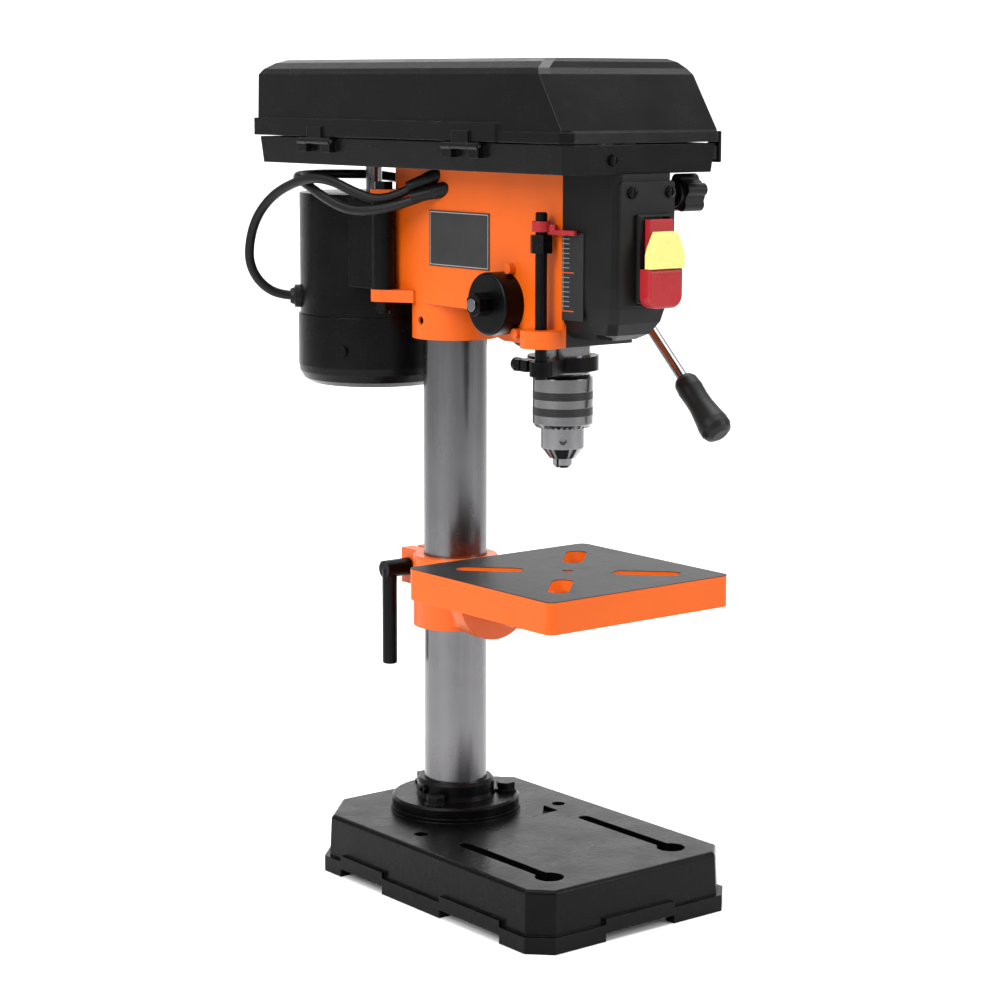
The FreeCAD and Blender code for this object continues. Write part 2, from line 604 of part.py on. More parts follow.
def feed_grip(i):
    a = math.radians(SPOKE_ANGLE + 120 * i)
    along = V(0, math.cos(a), math.sin(a))
    length = GRIP_END - GRIP_START
    profile = [(SPOKE_R, 0), (6.8, 0), (8.5, 3), (9.2, 10), (8.7, 18), (8.8, 25), (10.0, 34), (11.2, 41), (11.2, 46),
               (9.4, 49.8), (5.5, length), (0.01, length), (0.01, GRIP_BORE), (SPOKE_R, GRIP_BORE)]
    origin = V(SPOKE_X, FEED_Y, FEED_Z) + along * GRIP_START
    return turned(profile, origin.x, origin.y, origin.z, along)


# ---- quill and spindle

def quill():
    z0, z1 = QUILL_Z
    body = tube(0, QUILL_Y, z0, Z, QUILL_R, 11, z1 - z0)
    body = body.cut([rod(0, QUILL_Y, z0, Z, 14, 10), rod(0, QUILL_Y, z1 - 10, Z, 14, 10)])
    face = QUILL_Y + RACK_LINE + PINION_MODULE - 0.15
    body = body.cut(box(-30, 30, face, face + 20, z0 + 14, z1 - 4))
    return body.cut(rack_gaps(face))


def rack_gaps(face):
    pitch = math.pi * PINION_MODULE
    line = QUILL_Y + RACK_LINE
    deep = line - 1.35 * PINION_MODULE
    gaps = []
    first = math.ceil((QUILL_Z[0] + 16 - FEED_Z) / pitch)
    last = math.floor((QUILL_Z[1] - 6 - FEED_Z) / pitch)
    for i in range(first, last + 1):
        z = FEED_Z + i * pitch
        gaps.append(prism_x([(deep, z - 0.62), (line, z - 1.12), (face + 1, z - 1.75), (face + 1, z + 1.75),
                             (line, z + 1.12), (deep, z + 0.62)], -40, 40))
    return gaps


def quill_bearings():
    rings = [tube(0, QUILL_Y, z, Z, 14, SPINDLE_R + FIT, 9) for z in (QUILL_Z[0] + 1, QUILL_Z[1] - 10)]
    return Part.makeCompound(rings)


def depth_clamp():
    """Split ring round the quill, with an arm that carries the depth rod."""
    z0, z1 = CLAMP_RING_Z
    ring = rod(0, QUILL_Y, z0, Z, 24.5, z1 - z0)
    arm = prism_z([(-13, -141), (-36, -153.5), (-46, -150), (-46, -142), (-22, -134.5)], z0, z1)
    boss = rod(ROD_X, ROD_Y, z0, Z, 7.6, z1 - z0)
    ears = box(-38, -18, QUILL_Y - 7, QUILL_Y + 7, z0 + 1, z1 - 1)
    body = fuse(ring, arm, boss, ears)
    body = body.cut([rod(0, QUILL_Y, z0 - 1, Z, QUILL_R, 20), rod(ROD_X, ROD_Y, z0 - 1, Z, ROD_R, 20)])
    body = body.cut(box(-39, -15, QUILL_Y - 1, QUILL_Y + 1, z0 - 1, z1 + 1))
    return body.cut(rod(-32, QUILL_Y - 20, (z0 + z1) / 2, Y, 2.5, 40))


def depth_clamp_screw():
    z = sum(CLAMP_RING_Z) / 2
    screw = rod(-32, QUILL_Y - 9.5, z, Y, 2.5, 19)
    return fuse(screw, rod(-32, QUILL_Y + 7, z, Y, 4.5, 5), hexagon(-32, QUILL_Y - 11, z, Y, 8, 4))


def depth_rod():
    body = rod(ROD_X, ROD_Y, CLAMP_RING_Z[0] - 2, Z, ROD_R, ROD_TOP_Z - CLAMP_RING_Z[0] + 2)
    return body.makeChamfer(0.8, [e for e in body.Edges if level_at(ROD_TOP_Z)(e)])


def depth_nuts():
    nuts = []
    for i in range(2):
        nut = hexagon(ROD_X, ROD_Y, 461.0 + 6.1 * i, Z, 13.5, 5.9)
        nuts.append(nut.cut(rod(ROD_X, ROD_Y, 450, Z, ROD_R, 40)))
    return Part.makeCompound(nuts)


def depth_pointer():
    ring = tube(ROD_X, ROD_Y, 475.2, Z, 6.4, ROD_R, 7)
    arm = prism_z([(ROD_X + 2, ROD_Y - 5.5), (ROD_X + 5, ROD_Y - 3), (-32.4, -166), (-31.6, -173), (-34, -173),
                   (-35, -165)], 473.4, 476.6)
    link = prism_z([(ROD_X + 1, ROD_Y - 5.6), (ROD_X + 5, ROD_Y - 3), (-34, -156), (-36.4, -156)], 473.4, 480)
    return fuse(ring, arm, link)


def spindle():
    """Splined at the top, tapered at the bottom for the chuck."""
    taper = Part.makeCone(7.0, 8.5, 20, V(0, QUILL_Y, 352), Z)
    shaft = rod(0, QUILL_Y, 371.9, Z, SPINDLE_R, 190)
    nut = hexagon(0, QUILL_Y, QUILL_Z[1] + 0.5, Z, 19, 3)
    body = fuse(taper, shaft, nut)
    for i in range(6):
        a = math.radians(60 * i)
        key = rod(SPINDLE_R * math.cos(a), QUILL_Y + SPINDLE_R * math.sin(a), 500, Z, 1.0, 70)
        body = body.cut(key)
    return body


def chuck_sleeve():
    profile = [(15, 339.4), (18.8, 339.4), (20.8, 342.2), (20.8, 373.5), (18.5, 376), (15, 376)]
    sleeve = turned(profile, 0, QUILL_Y, 0, Z)
    notches = []
    for i in range(30):
        a = math.radians(12 * i)
        notches.append(Part.makeCylinder(0.9, 5, V(16.5 * math.cos(a), QUILL_Y + 16.5 * math.sin(a), 339.2),
                                         V(math.cos(a), math.sin(a), 0.25)))
    return sleeve.cut(notches)


def chuck_body():
    body = turned([(6.8, 317.9), (9.5, 317.9), (14.9, 325), (14.9, 375.8), (8.79, 375.8), (7.0, 352), (6.8, 352)],
                  0, QUILL_Y, 0, Z)
    holes = []
    for i in range(3):
        a = math.radians(120 * i + 232)
        holes.append(Part.makeCylinder(2.6, 9, V(7.5 * math.cos(a), QUILL_Y + 7.5 * math.sin(a), 331),
                                       V(math.cos(a), math.sin(a), 0)))
    return body.cut(holes)


def chuck_jaws():
    """Three jaws that close on a 13 mm shank or on nothing."""
    round_bar = rod(0, QUILL_Y, 311, Z, 6.6, 34)
    round_bar = round_bar.makeChamfer(2.0, [e for e in round_bar.Edges if level_at(311)(e)])
    jaws = []
    for i in range(3):
        a = 120 * i + 20
        wedge = prism_z([(0.9, 0), (0.9 + 20, -34), (0.9 + 20, 34)], 305, 350)
        wedge.rotate(V(0, 0, 0), Z, a)
        wedge.translate(V(0, QUILL_Y, 0))
        jaws.append(round_bar.common(wedge))
    return Part.makeCompound(jaws)


# ---- belt drive

def step_pulley(column, y, r_bore):
    """Five V grooves on one axis; column picks this pulley's pitch radii."""
    outline = [(r_bore, STEP_Z)]
    for i, radii in enumerate(BELT_STEPS):
        r, z = radii[column], STEP_Z + i * STEP_H
        outline += [(r + 2.6, z), (r + 2.6, z + 1.2), (r - 3.4, z + 3.2), (r - 3.4, z + 6.3), (r + 2.6, z + 8.3),
                    (r + 2.6, z + STEP_H)]
    outline.append((r_bore, STEP_Z + len(BELT_STEPS) * STEP_H))
    return turned(outline, 0, y, 0, Z)


def drive_belt():
    """V belt on the middle step, as it runs round both pulleys."""
    z = STEP_Z + BELT_STEP * STEP_H
    r_motor, r_spindle = BELT_STEPS[BELT_STEP]

    def layer(grow, height):
        a, b = r_motor + grow, r_spindle + grow
        span = MOTOR_Y - QUILL_Y
        tilt = math.asin((b - a) / span)
        c, s = math.cos(tilt), math.sin(tilt)
        m0, m1 = V(a * c, MOTOR_Y + a * s, height), V(-a * c, MOTOR_Y + a * s, height)
        q0, q1 = V(b * c, QUILL_Y + b * s, height), V(-b * c, QUILL_Y + b * s, height)
        edges = [Part.LineSegment(q0, m0).toShape(), Part.Arc(m0, V(0, MOTOR_Y + a, height), m1).toShape(),
                 Part.LineSegment(m1, q1).toShape(), Part.Arc(q1, V(0, QUILL_Y - b, height), q0).toShape()]
        return Part.Wire(edges)

    outer = Part.Face(layer(2.0, z + 1.7)).extrude(V(0, 0, 6.1))
    inside = [layer(1.6, z + 1.6), layer(-2.8, z + 3.2), layer(-2.8, z + 6.3), layer(1.6, z + 7.9)]
    return outer.cut(Part.makeLoft(inside, True, True))


def motor_pulley():
    return step_pulley(0, MOTOR_Y, MOTOR_SHAFT_R)


def spindle_pulley():
    return step_pulley(1, QUILL_Y, 12)


def pulley_sleeve():
    """Splined drive sleeve that the spindle slides in, under and inside its pulley."""
    body = fuse(tube(0, QUILL_Y, 499.5, Z, 12, SPINDLE_R + FIT, 72), tube(0, QUILL_Y, 519.0, Z, 15, 11, 3.5))
    for i in range(6):
        a = math.radians(60 * i)
        body = body.fuse(rod((SPINDLE_R + 0.35) * math.cos(a), QUILL_Y + (SPINDLE_R + 0.35) * math.sin(a), 505, Z, 0.7, 60))
    return body.removeSplitter()


def sleeve_bearing():
    return tube(0, QUILL_Y, 499.5, Z, QUILL_R, 12 + FIT, 14)


def motor_body():
    """Upper frame of the motor with its mounting web and hinge knuckle."""
    z0, z1 = MOTOR_SEAM_Z, MOTOR_Z[1]
    can = tube(0, MOTOR_Y, z0, Z, 55.5, 51.5, z1 - z0 - 4).fuse(rod(0, MOTOR_Y, z1 - 4, Z, 55.5, 4))
    k0, k1 = EAR_Z[0][1] + GAP, EAR_Z[1][0] - GAP
    knuckle = rod(HINGE_X, HINGE_Y, k0, Z, 8.5, k1 - k0)
    web = prism_z([(-47, 32), (-33, 38), (-25, 52), (-43, 68), (-50, 62)], k0, k1)
    web = web.cut(rod(0, MOTOR_Y, k0 - 1, Z, 54, k1 - k0 + 2))
    body = fuse(can, knuckle, web)
    cuts = [rod(HINGE_X, HINGE_Y, k0 - 1, Z, 4 + FIT, k1 - k0 + 2), rod(0, MOTOR_Y, z1 - 5, Z, MOTOR_SHAFT_R + 1, 8),
            gland_rod(CORD_R + GAP, 0, MOTOR_R + 5), gland_rod(8.5, MOTOR_R - 3, MOTOR_R + 5)]
    return body.cut(cuts)


def motor_end_shell():
    """Lower cup of the motor, round-edged underneath."""
    z0, z1 = MOTOR_Z[0], MOTOR_SEAM_Z
    profile = [(0.01, z0), (47, z0), (53, z0 + 3.5), (56.2, z0 + 9), (MOTOR_R, z0 + 14), (MOTOR_R, z1), (54, z1),
               (54, z0 + 15), (50, z0 + 7), (48, z0 + 5), (0.01, z0 + 5)]
    shell = turned(profile, 0, MOTOR_Y, 0, Z)
    return shell.cut([rod(*motor_screw_spot(i, 40), 378, motor_screw_axis(i), 2, 25) for i in range(4)])


def motor_screw_axis(i):
    a = math.radians(45 + 90 * i + 165)
    return V(math.cos(a), math.sin(a), 0)


def motor_screw_spot(i, r):
    axis = motor_screw_axis(i)
    return r * axis.x, MOTOR_Y + r * axis.y


def motor_screws():
    screws = []
    for i in range(4):
        axis = motor_screw_axis(i)
        screws.append(fuse(rod(*motor_screw_spot(i, 52), 378, axis, 2, 6), rod(*motor_screw_spot(i, 57.2), 378, axis, 4, 2.4)))
    return Part.makeCompound(screws)


def motor_stator():
    ring = tube(0, MOTOR_Y, 400, Z, 51.5, 38, 50)
    teeth = [box(28, 39, -4, 4, 400, 450) for i in range(12)]
    for i, tooth in enumerate(teeth):
        tooth.rotate(V(0, 0, 0), Z, 30 * i)
        tooth.translate(V(0, MOTOR_Y, 0))
    return fuse(ring, *teeth)


def motor_bearings():
    return Part.makeCompound([tube(0, MOTOR_Y, 480, Z, 17, MOTOR_SHAFT_R + FIT, 8),
                              tube(0, MOTOR_Y, MOTOR_Z[0] + 5, Z, 17, MOTOR_SHAFT_R + FIT, 9)])


def motor_rotor():
    return fuse(rod(0, MOTOR_Y, 357, Z, MOTOR_SHAFT_R, 218), rod(0, MOTOR_Y, 400, Z, 27.3, 50))


def hinge_bolt():
    low, high = EAR_Z[0][0], EAR_Z[1][1]
    return fuse(rod(HINGE_X, HINGE_Y, low - 9, Z, 4, high - low + 11), hexagon(HINGE_X, HINGE_Y, high, Z, 12.5, 5.3),
                hexagon(HINGE_X, HINGE_Y, low - 6.5, Z, 12.5, 6.3))


def gland_out():
    a = math.radians(GLAND_ANGLE)
    return V(math.cos(a), math.sin(a), 0)


def gland_rod(radius, near, far):
    """Radial bar out of the motor; near and far are distances from its axis."""
    out = gland_out()
    return Part.makeCylinder(radius, far - near, V(0, MOTOR_Y, GLAND_Z) + out * near, out)


def motor_gland():
    out = gland_out()
    foot = V(0, MOTOR_Y, GLAND_Z) + out * (MOTOR_R - 3)
    profile = [(CORD_R + GAP, 0), (8.5, 0), (8.5, 5.5), (6.5, 6), (5.4, 9), (CORD_R + GAP, 9)]
    return turned(profile, foot.x, foot.y, foot.z, out)


def tension_knob():
    """Five-lobed knob on its own stud, which turns in the front shell."""
    x0, x1 = TENSION_X
    knob = rod(x0 + 3, TENSION_Y, TENSION_Z, X, KNOB_R, x1 - x0 - 3)
    lobe_at = KNOB_R - 1.5
    for i in range(5):
        a = math.radians(72 * i + 18)
        y, z = TENSION_Y + lobe_at * math.cos(a), TENSION_Z + lobe_at * math.sin(a)
        knob = knob.fuse(rod(x0 + 3, y, z, X, KNOB_LOBE_R, x1 - x0 - 3))
    stud = rod(14, TENSION_Y, TENSION_Z, X, 4, x1 - 20)
    return fuse(knob, rod(x0, TENSION_Y, TENSION_Z, X, 9, 5), stud)


# ---- belt cover

def cover_outline(half, y0, y1, corner):
    """Plan outline with short bevels at the corners."""
    return chamfered(half, y0, y1, corner, corner)


def tray_outer():
    return loft([at_height(cover_outline(TRAY_HALF, TRAY_FRONT, TRAY_BACK, 6), HEAD_TOP_Z),
                 at_height(cover_outline(LID_HALF - 0.6, TRAY_FRONT - 1.6, LID_BACK - 1, 6), TRAY_TOP_Z)])


def belt_tray():
    z0, z1 = HEAD_TOP_Z, TRAY_TOP_Z
    outer = tray_outer()
    inner = loft([at_height(cover_outline(TRAY_HALF - COVER_WALL, TRAY_FRONT + COVER_WALL, TRAY_BACK - COVER_WALL, 5),
                            z0 + COVER_WALL),
                  at_height(cover_outline(LID_HALF - 3.2, TRAY_FRONT + 1, LID_BACK - 3.6, 5), z1 + 1)])
    body = outer.cut(inner)
    shaft_slot = rod(0, MOTOR_Y, z0 - 1, Z, 16, 10).fuse(rod(10, MOTOR_Y - 6, z0 - 1, Z, 16, 10))
    body = fuse(body, *tray_hinge_knuckles())
    front_screw = rod(-27.6, TRAY_FRONT - 5, 523, Y, 2.6, 12)
    pin_bore = rod(LID_HINGE_X, -150, LID_HINGE_Z, Y, 1.25, 300)
    return body.cut([rod(0, QUILL_Y, z0 - 1, Z, 21, 10), shaft_slot, front_screw, pin_bore]
                    + [rod(x, y, z0 - 1, Z, 2.6, 6) for x, y in TRAY_SCREWS])


def lid_latch():
    """Snap catch on the right of the tray's front end, reaching up beside the lid."""
    hook = box(LID_HALF + 1.9, LID_HALF + 4.4, -200, -188, 520, 541)
    hook = rounded(hook, 1.0, lambda e: True)
    foot = box(TRAY_HALF - 1, LID_HALF + 3, -198, -190, 522, 531)
    return fuse(hook, foot.cut(tray_outer()))


def lid_rings(shrink, drop):
    """Outlines of the lid from its rim to its crown; the front wall leans back."""
    spec = [(BAND_Z[0], 0, 0, 0, 5), (542, 0, 0, 0, 5), (LID_WALL_TOP_Z - 2, 0.4, 23.5, 0.8, 5),
            (LID_WALL_TOP_Z + 2, 3, 27, 4, 5), (LID_TOP_Z - 2.2, 9, 30, 11, 5), (LID_TOP_Z, 15, 34, 18, 5)]
    rings = []
    for z, side, front, back, corner in spec:
        half, y0, y1 = LID_HALF - side - shrink, TRAY_FRONT - 1.6 + front + shrink, LID_BACK - back - shrink
        rings.append(at_height(cover_outline(half, y0, y1, corner), z - drop))
    return rings


def belt_lid():
    outer = loft(lid_rings(0, 0))
    band = prism_z(cover_outline(LID_HALF + 2.5, -140, LID_BACK + 2.5, 6), *BAND_Z)
    front_band = prism_z(cover_outline(LID_HALF + 1.6, TRAY_FRONT - 3.2, -130, 7), BAND_Z[0], 541)
    inner = loft(lid_rings(COVER_WALL, COVER_WALL))
    mouth = prism_z(cover_outline(LID_HALF - COVER_WALL, TRAY_FRONT + 1, LID_BACK - COVER_WALL, 6), 520, 545)
    below = box(-200, 200, -300, 300, 500, BAND_Z[0])
    shell = fuse(outer, band, front_band).cut([inner, mouth, below])
    return fuse(shell, *lid_hinge_leaves())


def lid_hinge_leaves():
    """Lid halves of the two hinges: an ear with a knuckle over the pin."""
    leaves = []
    for y in LID_HINGES_Y:
        knuckle = rod(LID_HINGE_X, y - 9, LID_HINGE_Z, Y, 2.6, 18)
        leaf = box(LID_HINGE_X - 1.3, LID_HINGE_X + 0.3, y - 9, y + 9, LID_HINGE_Z, BAND_Z[0] + 2)
        pad = box(LID_HINGE_X - 1.3, LID_HINGE_X + 0.8, y - 9, y + 9, BAND_Z[0] - 0.5, BAND_Z[0] + 7)
        leaves.append(fuse(knuckle, leaf, pad).cut([rod(LID_HINGE_X, y - 30, LID_HINGE_Z, Y, 1.25 + FIT, 60)]))
    return leaves


def tray_hinge_knuckles():
    knuckles = []
    for y in LID_HINGES_Y:
        for y0 in (y - 20, y + 9.4):
            arm = box(LID_HINGE_X - 1.3, -LID_HALF + 4.0, y0, y0 + 10.6, LID_HINGE_Z - 8, LID_HINGE_Z)
            knuckle = rod(LID_HINGE_X, y0, LID_HINGE_Z, Y, 2.6, 10.6)
            knuckles.append(fuse(arm, knuckle))
    return knuckles


def hinge_pins():
    return Part.makeCompound([rod(LID_HINGE_X, y - 20, LID_HINGE_Z, Y, 1.25, 40) for y in LID_HINGES_Y])


# ---- cords

def tangent_arcs(points):
    """Straight runs joined by tangent arcs, as one wire; prints the radii."""
    corners, radii = [], []
    for a, b, c in zip(points, points[1:], points[2:]):
        u, w = (a - b), (c - b)
        turn = math.pi - u.getAngle(w)
        cut = 0.45 * min(u.Length, w.Length)
        radii.append(cut / math.tan(turn / 2))
        u.normalize()
        w.normalize()
        start, end = b + u * cut, b + w * cut
        bisector = (u + w).normalize()
        centre_far = radii[-1] / math.cos(turn / 2)
        middle = b + bisector * (centre_far - radii[-1])
        corners.append((start, middle, end))
    edges, here = [], points[0]
    for start, middle, end in corners:
        edges.append(Part.LineSegment(here, start).toShape())
        edges.append(Part.Arc(start, middle, end).toShape())
        here = end
    edges.append(Part.LineSegment(here, points[-1]).toShape())
    print("  bend radii", " ".join(str(round(r)) for r in radii))
    return Part.Wire(edges)


def cord_tube(route):
    path = tangent_arcs([V(*p) for p in route])
    first = path.Edges[0]
    direction = first.tangentAt(first.FirstParameter)
    section = Part.Wire(Part.makeCircle(CORD_R, V(*route[0]), direction))
    solid = path.makePipeShell([section], True, False)
    expected = math.pi * CORD_R ** 2 * path.Length
    print("  length", round(path.Length), "volume ratio", round(solid.Volume / expected, 4))
    return solid


def power_coil():
    return tube(COIL_X, COIL_Y, 0, Z, COIL_MEAN_R + COIL_HALF, COIL_MEAN_R - COIL_HALF, COIL_HEIGHT)


def strain_relief(route, length):
    """Tapered sleeve round a cord where it leaves the head's left wall."""
    inside, outside = V(*route[0]), V(*route[1])
    if inside.x < outside.x:
        inside, outside = outside, inside
    along = (outside - inside).normalize()
    foot = inside + along * ((-HEAD_HALF - inside.x) / along.x)
    cone = turned([(CORD_R, -8), (5.4, -8), (5.4, 5), (4.9, 6), (4.1, length), (CORD_R, length)],
                  foot.x, foot.y, foot.z, along)
    return cone.cut(box(-HEAD_HALF, 60, -90, 60, 400, 600))


def cord_reliefs():
    return Part.makeCompound([strain_relief(LEAD_ROUTE[::-1], 20), strain_relief(POWER_ROUTE, 22)])


def motor_lead():
    return cord_tube(LEAD_ROUTE)


def power_cord():
    return cord_tube(POWER_ROUTE)


def power_plug():
    """Moulded plug flat on the bench beside the coil, its blades to the front."""
    x, y, z = PLUG_NECK
    back = y - NECK_LENGTH
    front = back - PLUG_LENGTH
    body = rounded(box(x - PLUG_HALF, x + PLUG_HALF, front, back, 0, 2 * z), 4.0, lambda e: True)
    neck = turned([(0.01, 0), (6.6, 0), (4.4, NECK_LENGTH + 1), (0.01, NECK_LENGTH + 1)], x, back - 1, z, Y)
    blades = [box(x + s * 6.3 - 0.8, x + s * 6.3 + 0.8, front - BLADE_LENGTH, front + 1, z - 4, z + 2) for s in (-1, 1)]
    pin = rod(x, front - BLADE_LENGTH - 2, z + 3.5, Y, 2.4, BLADE_LENGTH + 3)
    return fuse(body, neck, pin, *blades)


PARTS = [
    base_casting, column_flange, flange_bolts, set_screws, column,
    table_bracket, table_top, tilt_bolt, clamp_lever,
    head_casting, front_shell, switch_panel, pan_screws, switch_housing, switch_paddle, paddle_pin, safety_key,
    data_plate, depth_scale,
    feed_shaft, spring_cap, return_spring, cap_nuts, feed_hub, feed_spokes, feed_grips,
    quill, quill_bearings, depth_clamp, depth_clamp_screw, depth_rod, depth_nuts, depth_pointer,
    spindle, chuck_sleeve, chuck_body, chuck_jaws, spindle_pulley, pulley_sleeve, sleeve_bearing, drive_belt,
    motor_body, motor_end_shell, motor_screws, motor_stator, motor_bearings, motor_rotor, motor_pulley, motor_gland,
    hinge_bolt, tension_knob, belt_tray, lid_latch, belt_lid, hinge_pins,
    cord_reliefs, motor_lead, power_cord, power_coil, power_plug,
]


def main():
    os.makedirs("parts", exist_ok=True)
    for make in PARTS:
        save(make.__name__, make())


main()
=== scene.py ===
import json
import math

import bmesh
import bpy
from mathutils import Matrix, Vector


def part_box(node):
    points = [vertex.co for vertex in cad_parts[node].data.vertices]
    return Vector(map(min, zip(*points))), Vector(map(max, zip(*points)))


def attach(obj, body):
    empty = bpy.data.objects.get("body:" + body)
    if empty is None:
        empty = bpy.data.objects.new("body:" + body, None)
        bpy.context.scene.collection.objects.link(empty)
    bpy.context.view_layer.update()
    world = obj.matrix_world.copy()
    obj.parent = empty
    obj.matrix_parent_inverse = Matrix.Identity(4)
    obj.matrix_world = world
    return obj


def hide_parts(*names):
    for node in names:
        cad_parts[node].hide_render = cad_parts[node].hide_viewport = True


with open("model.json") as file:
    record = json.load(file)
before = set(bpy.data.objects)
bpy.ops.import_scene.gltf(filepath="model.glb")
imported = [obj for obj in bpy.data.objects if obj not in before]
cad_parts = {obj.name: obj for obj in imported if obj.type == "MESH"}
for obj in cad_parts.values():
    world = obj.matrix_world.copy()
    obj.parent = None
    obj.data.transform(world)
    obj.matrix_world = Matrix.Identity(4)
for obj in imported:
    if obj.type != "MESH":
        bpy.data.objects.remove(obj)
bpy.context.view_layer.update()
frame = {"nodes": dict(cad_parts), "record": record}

NODES = frame["nodes"]
SCENE = bpy.context.scene


# ---- camera

CAMERA_PLACE = (-1.11686, -1.46296, 0.57308)
CAMERA_YAW = math.radians(-38.37)
CAMERA_PITCH = math.radians(9.28)
CAMERA_ROLL = math.radians(0.11)
CAMERA_LENS = 92.18
CAMERA_SENSOR = 36.0
CAMERA_NEAR = 0.05


def make_camera():
    """Camera in front of the machine and to its left, looking a little down."""
    data = bpy.data.cameras.new("camera")
    data.lens = CAMERA_LENS
    data.sensor_width = CAMERA_SENSOR
    data.clip_start = CAMERA_NEAR
    cam = bpy.data.objects.new("camera", data)
    SCENE.collection.objects.link(cam)
    cam.location = CAMERA_PLACE
    reach = math.cos(CAMERA_PITCH)
    forward = Vector((-math.sin(CAMERA_YAW) * reach, math.cos(CAMERA_YAW) * reach, -math.sin(CAMERA_PITCH)))
    right = Vector((math.cos(CAMERA_YAW), math.sin(CAMERA_YAW), 0.0))
    up = right.cross(forward)
    c, s = math.cos(CAMERA_ROLL), math.sin(CAMERA_ROLL)
    right, up = right * c + up * s, up * c - right * s
    turn = Matrix((right, up, -forward)).transposed().to_4x4()
    cam.matrix_world = Matrix.Translation(cam.location) @ turn
    SCENE.camera = cam


# ---- node helpers

MIDDLE = (0.3, 0.7)  # where most of a noise's values lie
FULL = (0.0, 1.0)
FINE = 0.0003  # depth of fine relief, in metres
BEVEL_SAMPLES = 6
ENAMEL_EDGE = 0.0007
METAL_EDGE = 0.0005
PLASTIC_EDGE = 0.0009
WEAR_WIDTH = 0.0011
WEAR_LEAN = (0.97, 0.80)  # cosine of the lean of the softened normal, from unworn to worn


class Nodes:
    """A material's node tree with short helpers. Places are in metres, in the machine's own frame."""

    def __init__(self, name):
        self.mat = bpy.data.materials.new(name)
        self.mat.use_nodes = True
        self.tree = self.mat.node_tree
        self.bsdf = self.tree.nodes["Principled BSDF"]
        self.place = self.tree.nodes.new("ShaderNodeTexCoord").outputs["Object"]

    def link(self, a, b):
        self.tree.links.new(a, b)

    def feed(self, socket, value):
        """Link an output to the socket, or set a number or a colour on it."""
        if isinstance(value, (int, float)):
            socket.default_value = value
        elif isinstance(value, tuple):
            socket.default_value = (*value, 1.0)
        else:
            self.link(value, socket)

    def set(self, **values):
        for key, value in values.items():
            self.feed(self.bsdf.inputs[key.replace("_", " ")], value)

    def noise(self, scale, detail, rough=0.55, stretch=None):
        n = self.tree.nodes.new("ShaderNodeTexNoise")
        n.inputs["Scale"].default_value = scale
        n.inputs["Detail"].default_value = detail
        n.inputs["Roughness"].default_value = rough
        self.link(self.stretched(stretch), n.inputs["Vector"])
        return n.outputs["Fac"]

    def stretched(self, stretch):
        if not stretch:
            return self.place
        m = self.tree.nodes.new("ShaderNodeMapping")
        m.inputs["Scale"].default_value = stretch
        self.link(self.place, m.inputs["Vector"])
        return m.outputs["Vector"]

    def spread(self, value, source, target):
        """Map the source range of a value onto the target range, and clamp it there."""
        n = self.tree.nodes.new("ShaderNodeMapRange")
        for key, v in zip(("From Min", "From Max", "To Min", "To Max"), (*source, *target)):
            n.inputs[key].default_value = v
        self.link(value, n.inputs["Value"])
        return n.outputs["Result"]

    def cloud(self, scale, detail, target=FULL, source=MIDDLE):
        """Soft noise between the target's two values."""
        return self.spread(self.noise(scale, detail), source, target)

    def mixed(self, fac, a, b):
        n = self.tree.nodes.new("ShaderNodeMix")
        n.data_type = "RGBA"
        self.link(fac, n.inputs[0])
        self.feed(n.inputs[6], a)
        self.feed(n.inputs[7], b)
        return n.outputs[2]

    def math(self, op, a, b=0.0):
        n = self.tree.nodes.new("ShaderNodeMath")
        n.operation = op
        self.feed(n.inputs[0], a)
        self.feed(n.inputs[1], b)
        return n.outputs[0]

    def axis(self, letter):
        n = self.tree.nodes.new("ShaderNodeSeparateXYZ")
        self.link(self.place, n.inputs[0])
        return n.outputs[letter]

    def from_middle(self, letter, middle):
        """Distance along an axis from the middle given."""
        return self.math("ABSOLUTE", self.math("SUBTRACT", self.axis(letter), middle))

    def band(self, value, low, high):
        """One where the value lies between low and high."""
        return self.both(self.math("GREATER_THAN", value, low), self.math("LESS_THAN", value, high))

    def both(self, a, b):
        """One where both masks are one."""
        return self.math("MULTIPLY", a, b)

    def bump(self, height, strength, distance=FINE):
        """Add relief on top of what already shapes the normal."""
        normal = self.bsdf.inputs["Normal"]
        n = self.tree.nodes.new("ShaderNodeBump")
        n.inputs["Strength"].default_value = strength
        n.inputs["Distance"].default_value = distance
        if normal.is_linked:
            self.link(normal.links[0].from_socket, n.inputs["Normal"])
        self.link(height, n.inputs["Height"])
        self.link(n.outputs["Normal"], normal)

    def rounded_normal(self, radius):
        n = self.tree.nodes.new("ShaderNodeBevel")
        n.samples = BEVEL_SAMPLES
        n.inputs["Radius"].default_value = radius
        return n.outputs["Normal"]

    def soft_edges(self, radius):
        """Round every sharp edge a little in the shading, as paint or moulding does."""
        self.link(self.rounded_normal(radius), self.bsdf.inputs["Normal"])

    def edge_wear(self):
        """One along sharp edges, from how far the softened normal leans away."""
        flat = self.tree.nodes.new("ShaderNodeNewGeometry")
        dot = self.tree.nodes.new("ShaderNodeVectorMath")
        dot.operation = "DOT_PRODUCT"
        self.link(self.rounded_normal(WEAR_WIDTH), dot.inputs[0])
        self.link(flat.outputs["Normal"], dot.inputs[1])
        return self.spread(dot.outputs["Value"], WEAR_LEAN, FULL)


def shade(colour, factor, lift=0.0):
    return tuple(min(1.0, c * factor + lift) for c in colour)


# ---- finishes that follow from a few values

